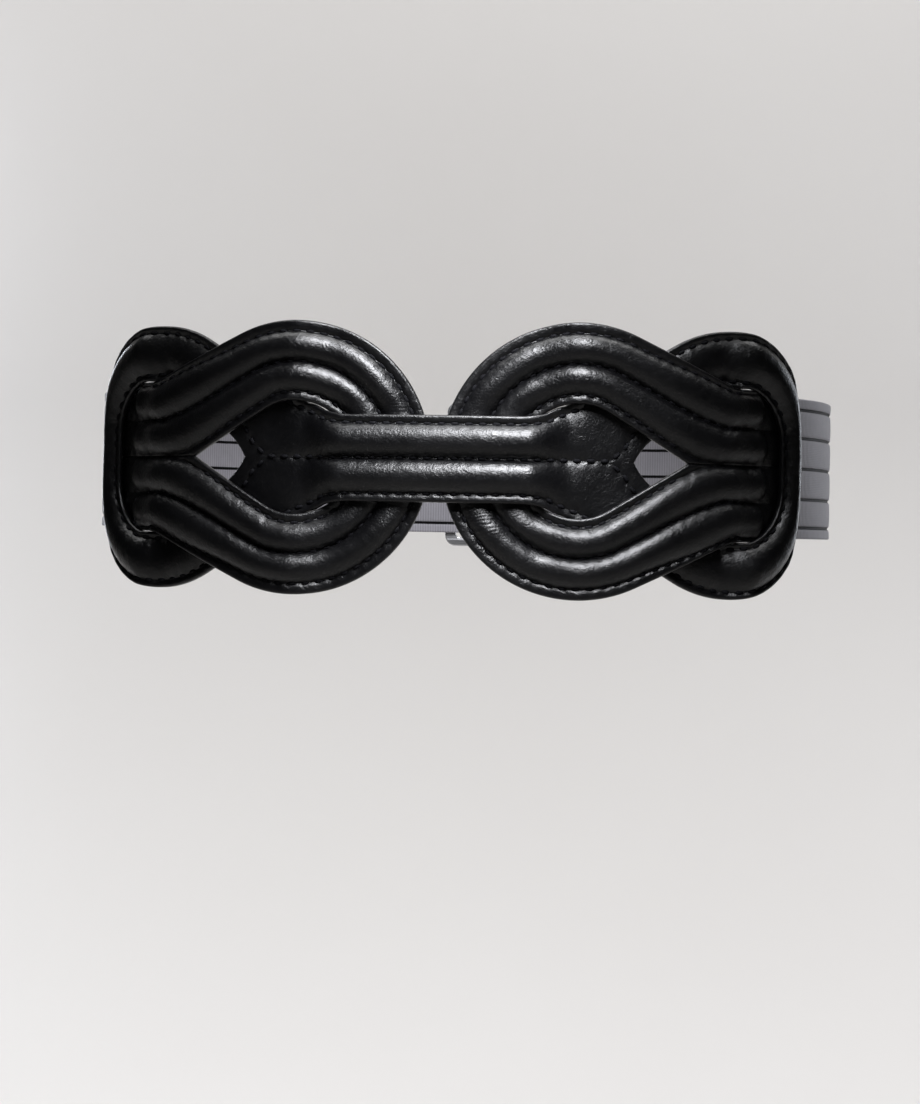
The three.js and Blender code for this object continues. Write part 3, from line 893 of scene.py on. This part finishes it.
def cloud(tree, vector, scale, detail=3.0, roughness=0.55, distortion=0.0):
    links = {"Vector": vector, "Scale": scale, "Detail": detail, "Roughness": roughness, "Distortion": distortion}
    return addNode(tree, "ShaderNodeTexNoise", links).outputs["Fac"]


def mixColor(tree, share, a, b):
    node = addNode(tree, "ShaderNodeMix", data_type="RGBA")
    for socket, value in ((node.inputs[0], share), (node.inputs[6], a), (node.inputs[7], b)):
        feed(tree, socket, value)
    return node.outputs[2]


# Fine pebbled grain with small creases
def makeHideGroup():
    group, given, result = newGroup(
        "hideGrain",
        [("Vector", "Vector", None), ("Pebble Scale", "Float", 1500.0), ("Crease Scale", "Float", 420.0),
         ("Cloud Scale", "Float", 38.0)],
        [("Height", "Float"), ("Clouds", "Float"), ("Creases", "Float")],
    )
    vector = given.outputs["Vector"]
    pebbles = addNode(group, "ShaderNodeTexVoronoi", {"Vector": vector, "Scale": given.outputs["Pebble Scale"]},
                      feature="SMOOTH_F1").outputs["Distance"]
    folds = cloud(group, vector, given.outputs["Crease Scale"], 5.0, 0.62, 0.6)
    clouds = cloud(group, vector, given.outputs["Cloud Scale"], 4.0, 0.6, 0.3)
    ridges = mathNode(group, "ABSOLUTE", mathNode(group, "SUBTRACT", folds, 0.5))
    pebbleHeight = mathNode(group, "MULTIPLY", pebbles, 0.35)
    height = mathNode(group, "ADD", pebbleHeight, mathNode(group, "MULTIPLY", ridges, 1.6))
    group.links.new(height, result.inputs["Height"])
    group.links.new(clouds, result.inputs["Clouds"])
    group.links.new(folds, result.inputs["Creases"])
    return group


# Threads that cross at right angles, laid along the pattern's own directions
def makeWeaveGroup():
    group, given, result = newGroup(
        "threadWeave",
        [("Along", "Float", 0.0), ("Up", "Float", 0.0), ("Rib Period", "Float", 0.01),
         ("Thread Period", "Float", 0.006)],
        [("Height", "Float"), ("Ribs", "Float")],
    )

    def waves(place, period):
        turns = mathNode(group, "DIVIDE", given.outputs[place], given.outputs[period])
        wave = mathNode(group, "SINE", mathNode(group, "MULTIPLY", turns, 2 * math.pi))
        return mathNode(group, "ADD", mathNode(group, "MULTIPLY", wave, 0.5), 0.5)

    ribs = waves("Along", "Rib Period")
    threads = waves("Up", "Thread Period")
    height = mathNode(group, "ADD", ribs, mathNode(group, "MULTIPLY", threads, 0.35))
    group.links.new(height, result.inputs["Height"])
    group.links.new(ribs, result.inputs["Ribs"])
    return group


hideGrain = makeHideGroup()
threadWeave = makeWeaveGroup()


def newMaterial(name):
    material = bpy.data.materials.new(name)
    material.use_nodes = True
    tree = material.node_tree
    shader = tree.nodes["Principled BSDF"]
    return material, tree, shader


def placeGroup(tree, group, links):
    node = addNode(tree, "ShaderNodeGroup")
    node.node_tree = group
    for key, value in links.items():
        feed(tree, node.inputs[key], value)
    return node.outputs


def bumpFrom(tree, shader, height, strength, distance):
    bump = addNode(tree, "ShaderNodeBump", {"Height": height, "Strength": strength, "Distance": distance})
    tree.links.new(bump.outputs["Normal"], shader.inputs["Normal"])


hideFinish = {
    "dark": (0.0007, 0.0007, 0.0009, 1),
    "light": (0.0017, 0.0017, 0.0020, 1),
    "gloss": (0.28, 0.42),
    "specular": 0.28,
    "bump": 0.8,
    "bumpDepth": 0.00022,
    "coat": 0.02,
    "coatRoughness": 0.16,
}


def leatherMaterial(f):
    material, tree, shader = newMaterial("blackLeather")
    place = addNode(tree, "ShaderNodeTexCoord").outputs["Object"]
    hide = placeGroup(tree, hideGrain, {"Vector": place})
    color = mixColor(tree, spread(tree, hide["Clouds"], 0.35, 0.7, 0, 1), f["dark"], f["light"])
    tree.links.new(color, shader.inputs["Base Color"])
    gloss = mathNode(tree, "ADD", mathNode(tree, "MULTIPLY", hide["Clouds"], 0.6),
                     mathNode(tree, "MULTIPLY", hide["Creases"], 0.4))
    tree.links.new(spread(tree, gloss, 0.3, 0.7, *f["gloss"]), shader.inputs["Roughness"])
    shader.inputs["Specular IOR Level"].default_value = f["specular"]
    shader.inputs["Coat Weight"].default_value = f["coat"]
    shader.inputs["Coat Roughness"].default_value = f["coatRoughness"]
    bumpFrom(tree, shader, hide["Height"], f["bump"], f["bumpDepth"])
    return material


threadFinish = {
    "dark": (0.003, 0.003, 0.0035, 1),
    "light": (0.004, 0.004, 0.005, 1),
    "roughness": (0.62, 0.78),
    "specular": 0.04,
    "plyScale": 1150.0,
    "bump": 0.8,
    "bumpDepth": 0.00012,
}


def threadMaterial(f):
    material, tree, shader = newMaterial("blackThread")
    place = addNode(tree, "ShaderNodeTexCoord").outputs["Object"]
    fuzz = cloud(tree, place, f["plyScale"], 2.0, 0.6, 0.4)
    tree.links.new(mixColor(tree, fuzz, f["dark"], f["light"]), shader.inputs["Base Color"])
    tree.links.new(spread(tree, fuzz, 0.3, 0.7, *f["roughness"]), shader.inputs["Roughness"])
    shader.inputs["Specular IOR Level"].default_value = f["specular"]
    bumpFrom(tree, shader, fuzz, f["bump"], f["bumpDepth"])
    return material


elasticFinish = {
    # painted shade between the ribs: the gaps are coloured darker than the rib tops
    "rib": (0.268, 0.262, 0.284, 1),
    "shadedGap": (0.205, 0.200, 0.218, 1),
    # painted shade: near-black colour laid along each groove
    "groove": (0.0015, 0.0015, 0.002, 1),
    "grooveHalf": 0.4,
    "grooveFade": 1.5,  # times the half width
    "ribPeriod": 0.95,
    "threadPeriod": 0.55,
    "cloudScale": 260.0,
    "roughness": (0.72, 0.5),  # between the ribs, and on them
    "sheen": 0.06,
    "sheenRoughness": 0.4,
    "specular": 0.08,
    "bump": 0.5,
    "bumpDepth": 0.0001,
}


def elasticMaterial(f):
    material, tree, shader = newMaterial("ribbedElastic")
    uv = addNode(tree, "ShaderNodeUVMap", uv_map="pattern").outputs["UV"]
    parts = addNode(tree, "ShaderNodeSeparateXYZ", {"Vector": uv}).outputs
    weave = placeGroup(tree, threadWeave, {
        "Along": parts["X"], "Up": parts["Y"],
        "Rib Period": f["ribPeriod"] / patternUnit, "Thread Period": f["threadPeriod"] / patternUnit,
    })
    cloudy = cloud(tree, addNode(tree, "ShaderNodeTexCoord").outputs["Object"], f["cloudScale"], 3.0, 0.6)
    # painted shade between the ribs, mixed with random cloudy mottling
    ribShadeAndMottle = mathNode(tree, "ADD", weave["Ribs"], mathNode(tree, "SUBTRACT", cloudy, 0.5))
    body = mixColor(tree, spread(tree, ribShadeAndMottle, 0, 1, 0, 1), f["shadedGap"], f["rib"])
    # painted shade in the grooves: the colour goes near-black near each groove's line
    nearest = None
    for at in elastic["grooves"]:
        away = mathNode(tree, "ABSOLUTE", mathNode(tree, "SUBTRACT", parts["Y"], at / patternUnit))
        nearest = away if nearest is None else mathNode(tree, "MINIMUM", nearest, away)
    edge = f["grooveHalf"] / patternUnit
    grooveShadeMask = spread(tree, nearest, edge, f["grooveHalf"] * f["grooveFade"] / patternUnit, 1, 0)
    tree.links.new(mixColor(tree, grooveShadeMask, body, f["groove"]), shader.inputs["Base Color"])
    tree.links.new(spread(tree, weave["Ribs"], 0, 1, *f["roughness"]), shader.inputs["Roughness"])
    shader.inputs["Specular IOR Level"].default_value = f["specular"]
    shader.inputs["Sheen Weight"].default_value = f["sheen"]
    shader.inputs["Sheen Roughness"].default_value = f["sheenRoughness"]
    bumpFrom(tree, shader, weave["Height"], f["bump"], f["bumpDepth"])
    return material


metalFinish = {
    "bright": (0.56, 0.56, 0.57, 1),
    "dull": (0.40, 0.40, 0.41, 1),
    "roughness": (0.26, 0.42),
    "brushing": (60.0, 60.0, 3200.0),
    "smearScale": 160.0,
    "bump": 0.25,
    "bumpDepth": 0.00003,
}


def metalMaterial(f):
    material, tree, shader = newMaterial("satinMetal")
    place = addNode(tree, "ShaderNodeTexCoord").outputs["Object"]
    brushed = addNode(tree, "ShaderNodeMapping", {"Vector": place, "Scale": f["brushing"]}).outputs["Vector"]
    lines = cloud(tree, brushed, 1.0, 3.0, 0.6)
    smear = cloud(tree, place, f["smearScale"], 4.0, 0.6)
    tree.links.new(mixColor(tree, smear, f["bright"], f["dull"]), shader.inputs["Base Color"])
    tree.links.new(spread(tree, lines, 0.3, 0.7, *f["roughness"]), shader.inputs["Roughness"])
    shader.inputs["Metallic"].default_value = 1.0
    bumpFrom(tree, shader, lines, f["bump"], f["bumpDepth"])
    return material


stageFinish = {
    "pale": (0.66, 0.64, 0.625, 1),
    "paler": (0.70, 0.685, 0.67, 1),
    "roughness": 0.9,
    "driftScale": 3.0,
}


def stageMaterial(f):
    material, tree, shader = newMaterial("paleStage")
    place = addNode(tree, "ShaderNodeTexCoord").outputs["Object"]
    drift = cloud(tree, place, f["driftScale"], 3.0, 0.5)
    tree.links.new(mixColor(tree, drift, f["pale"], f["paler"]), shader.inputs["Base Color"])
    shader.inputs["Roughness"].default_value = f["roughness"]
    return material


blackLeather = leatherMaterial(hideFinish)
blackThread = threadMaterial(threadFinish)
ribbedElastic = elasticMaterial(elasticFinish)
satinMetal = metalMaterial(metalFinish)
paleStage = stageMaterial(stageFinish)
print("stage: materials made")


# Puts a piece on the model: its finish, the node that it stands for and the body that it rides on
def dress(piece, material, node=None):
    piece.data.materials.append(material)
    if node:
        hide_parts(node)
    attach(piece, "root")


linkPiece, linkQuarters = makeLink("centreLink")
dress(linkPiece, blackLeather, "centre_link")
dress(linkStitches("centreLinkStitches", linkQuarters), blackThread)
print("stage: centre link")

for word, side in (("Left", -1), ("Right", 1)):
    loopPiece, halves = makeLoop("knotLoop" + word, side)
    dress(loopPiece, blackLeather, "knot_loop_" + word.lower())
    dress(loopStitches("knotLoopStitches" + word, halves, side), blackThread)
    elasticPiece, bandLength = makeElastic("elasticBand" + word, side)
    dress(elasticPiece, ribbedElastic, "elastic_band_" + word.lower())
    print("stage:", word.lower(), "knot loop and elastic band", round(bandLength, 1), "mm")

claspPiece = makeClasp("backClasp")
dress(claspPiece, satinMetal, "back_clasp")
print("stage: clasp")


# Stage: a pale floor that curves up behind
stage = {
    "floor": -0.42,
    "near": -1.4,
    "bend": 0.5,
    "radius": 0.5,
    "bendSteps": 24,
    "height": 1.4,
    "halfWidth": 2.0,
}


def makeStage(v):
    path = [(v["near"], v["floor"]), (v["bend"], v["floor"])]
    for k in range(1, v["bendSteps"] + 1):
        a = math.pi / 2 * k / v["bendSteps"]
        path.append((v["bend"] + v["radius"] * math.sin(a), v["floor"] + v["radius"] * (1 - math.cos(a))))
    path.append((v["bend"] + v["radius"], v["height"]))
    points = [(x, y, z) for y, z in path for x in (-v["halfWidth"], v["halfWidth"])]
    faces = [(2 * i, 2 * i + 1, 2 * i + 3, 2 * i + 2) for i in range(len(path) - 1)]
    mesh = bpy.data.meshes.new("stage")
    mesh.from_pydata(points, [], faces)
    piece = placeMesh("stage", mesh)
    piece.data.materials.append(paleStage)


makeStage(stage)

# Lights: a soft window in front and above, one for the backdrop, and faint cool strips at the sides
lamps = [
    {"name": "frontLight", "azimuth": 9, "elevation": 37, "distance": 0.25, "size": (0.055, 0.15), "power": 0.37,
     "color": (0.95, 0.96, 1.0), "aim": (0.006, -0.088, 0), "spread": 60},
    {"name": "fillLight", "azimuth": 20, "elevation": 62, "distance": 1.4, "size": (0.5, 0.3), "power": 1,
     "color": (1.0, 0.99, 0.97)},
    {"name": "rightLight", "azimuth": 128, "elevation": 5, "distance": 1.2, "size": (0.1, 0.6), "power": 4.0,
     "color": (0.86, 0.91, 1.0)},
    {"name": "leftLight", "azimuth": -142, "elevation": 5, "distance": 1.2, "size": (0.1, 0.6), "power": 3.2,
     "color": (0.86, 0.91, 1.0)},
]
backdropLight = {"place": (0.0, 0.1, 1.9), "aim": (0.0, 0.9, 0.4), "size": (2.4, 0.8), "power": 54}


def addLamp(name, place, aim, size, power, color, spread=180):
    data = bpy.data.lights.new(name, "AREA")
    data.shape = "RECTANGLE"
    data.size, data.size_y = size
    data.energy = power
    data.spread = math.radians(spread)
    data.color = color
    lamp = bpy.data.objects.new(name, data)
    turn = (aim - place).to_track_quat("-Z", "Y").to_matrix().to_4x4()
    lamp.matrix_world = Matrix.Translation(place) @ turn
    lamp.visible_camera = False
    bpy.context.scene.collection.objects.link(lamp)


for v in lamps:
    place = aroundBelt(v["azimuth"], v["elevation"], v["distance"])
    aim = Vector(v.get("aim", (0, 0, 0)))
    addLamp(v["name"], place, aim, v["size"], v["power"], v["color"], v.get("spread", 180))
v = backdropLight
addLamp("backdropLight", Vector(v["place"]), Vector(v["aim"]), v["size"], v["power"], (1, 1, 1))

glow = {"color": (0.93, 0.95, 1.0, 1), "strength": 0.02}
world = bpy.data.worlds.new("studio")
bpy.context.scene.world = world
world.use_nodes = True
worldGlow = world.node_tree.nodes["Background"]
worldGlow.inputs["Color"].default_value = glow["color"]
worldGlow.inputs["Strength"].default_value = glow["strength"]
bpy.context.scene.view_settings.view_transform = "Standard"
print("stage: lights and floor")
